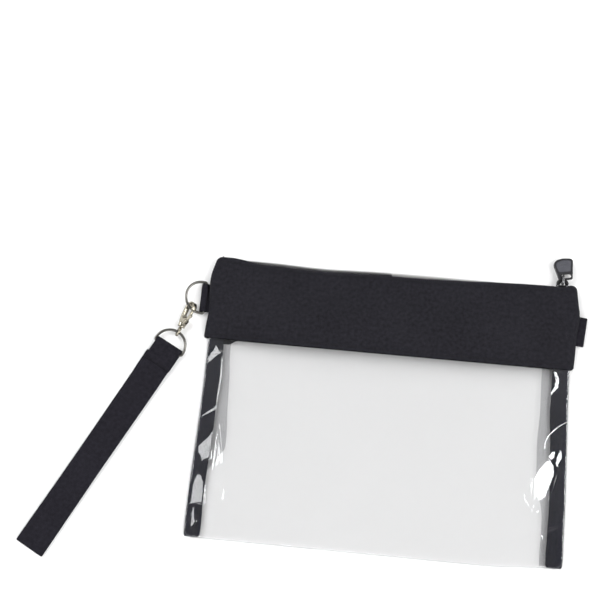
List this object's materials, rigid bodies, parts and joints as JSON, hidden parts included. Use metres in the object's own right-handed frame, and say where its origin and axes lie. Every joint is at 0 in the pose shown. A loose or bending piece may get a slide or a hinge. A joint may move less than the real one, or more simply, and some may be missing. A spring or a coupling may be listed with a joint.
{
  "type": "makeup bag",
  "caption": "Flat clear zip pouch with a black fabric top band, side tabs, and a webbing wrist strap on a swivel clasp and D-rings.",
  "frame": {"origin": "centre of the pouch's back face, on the surface that it lies on", "axes": "+X along the zip towards its closed end, +Y from the bottom fold to the zip, +Z out of the back face up to the front wall"},
  "size_m": [0.3695, 0.2362, 0.0131],
  "materials": {
    "clear_pvc": "clear flexible sheet, glossy",
    "black_fabric": "fine plain weave, matt",
    "black_tape": "woven binding and zip tape, matt",
    "black_webbing": "ribbed webbing, matt",
    "coil_nylon": "satin nylon",
    "slider_metal": "black lacquer, worn at the edges",
    "puller_moulding": "grey-black moulding, satin",
    "pale_gold_metal": "pale gold plating, polished"
  },
  "bodies": {
    "bag": {"clear_back_panel": "clear_pvc", "back_band": "black_fabric", "back_band_facing": "black_tape", "left_side_binding": "black_tape", "right_side_binding": "black_tape", "back_zip_tape": "black_tape", "back_zip_coil": "coil_nylon", "zip_bottom_stop": "slider_metal", "back_zip_top_stop": "slider_metal", "left_side_tab": "black_webbing", "right_side_tab": "black_webbing"},
    "front_wall": {"clear_front_panel": "clear_pvc", "front_band": "black_fabric", "front_band_facing": "black_tape", "front_zip_tape": "black_tape", "front_zip_coil": "coil_nylon", "front_zip_top_stop": "slider_metal"},
    "zip_slider": {"zip_slider_body": "slider_metal"},
    "pull_link": {"zip_pull_link": "slider_metal"},
    "puller": {"zip_puller": "puller_moulding"},
    "bag_ring": {"bag_d_ring": "pale_gold_metal"},
    "clasp": {"clasp_hook_body": "pale_gold_metal", "clasp_gate_pin": "pale_gold_metal", "clasp_gate_spring": "pale_gold_metal"},
    "gate": {"clasp_gate": "pale_gold_metal"},
    "swivel": {"swivel_eye": "pale_gold_metal"},
    "strap_ring": {"strap_d_ring": "pale_gold_metal"},
    "wrist_strap": {"strap_end_cover": "black_webbing", "wrist_strap_loop": "black_webbing"}
  },
  "joints": [
    {"name": "zip_slide", "type": "slide", "parent": "bag", "child": "zip_slider", "axis": [-1, 0, 0], "range_m": [0, 0.228], "deforming": ["back_zip_coil", "front_zip_coil"]},
    {"name": "front_wall_open", "type": "hinge", "parent": "bag", "child": "front_wall", "pos_m": [0, -0.0927, 0.00405], "axis": [1, 0, 0], "range_deg": [0, 15]},
    {"name": "pull_link_swing", "type": "hinge", "parent": "zip_slider", "child": "pull_link", "pos_m": [0.116, 0.0978, 0.0047], "axis": [0, 0, 1], "range_deg": [-45, 45]},
    {"name": "puller_swing", "type": "hinge", "parent": "pull_link", "child": "puller", "pos_m": [0.116, 0.1034, 0.0047], "axis": [0, 0, 1], "range_deg": [-25, 18]},
    {"name": "bag_ring_swing", "type": "hinge", "parent": "bag", "child": "bag_ring", "pos_m": [-0.1289, 0.0665, 0.00215], "axis": [0, 1, 0], "range_deg": [-60, 45]},
    {"name": "clasp_rock", "type": "hinge", "parent": "bag_ring", "child": "clasp", "pos_m": [-0.13743, 0.0577, 0.00526], "axis": [-0.7467, 0.607, 0.2718], "range_deg": [-15, 30]},
    {"name": "clasp_gate_press", "type": "hinge", "parent": "clasp", "child": "gate", "pos_m": [-0.13984, 0.04812, 0.00564], "axis": [-0.6697, 0.1969, 0.716], "range_deg": [0, 16], "stiffness_Nm_per_rad": 0.004, "springref_deg": -17.19, "deforming": ["clasp_gate_spring"]},
    {"name": "swivel_turn", "type": "hinge", "parent": "clasp", "child": "swivel", "pos_m": [-0.14439, 0.04055, 0.00347], "axis": [0.374, 0.9224, 0.0962], "continuous": true},
    {"name": "strap_ring_swing", "type": "hinge", "parent": "swivel", "child": "strap_ring", "pos_m": [-0.14439, 0.04055, 0.00347], "axis": [-0.8859, 0.4639, 0], "range_deg": [-15, 40]},
    {"name": "strap_swing", "type": "hinge", "parent": "strap_ring", "child": "wrist_strap", "pos_m": [-0.1502, 0.02945, 0.00215], "axis": [-0.8859, 0.4639, 0], "range_deg": [-15, 40]}
  ],
  "couplings": [
    {"joint": "front_wall_open", "follows": "zip_slide", "rad_per_m": 1.148}
  ]
}
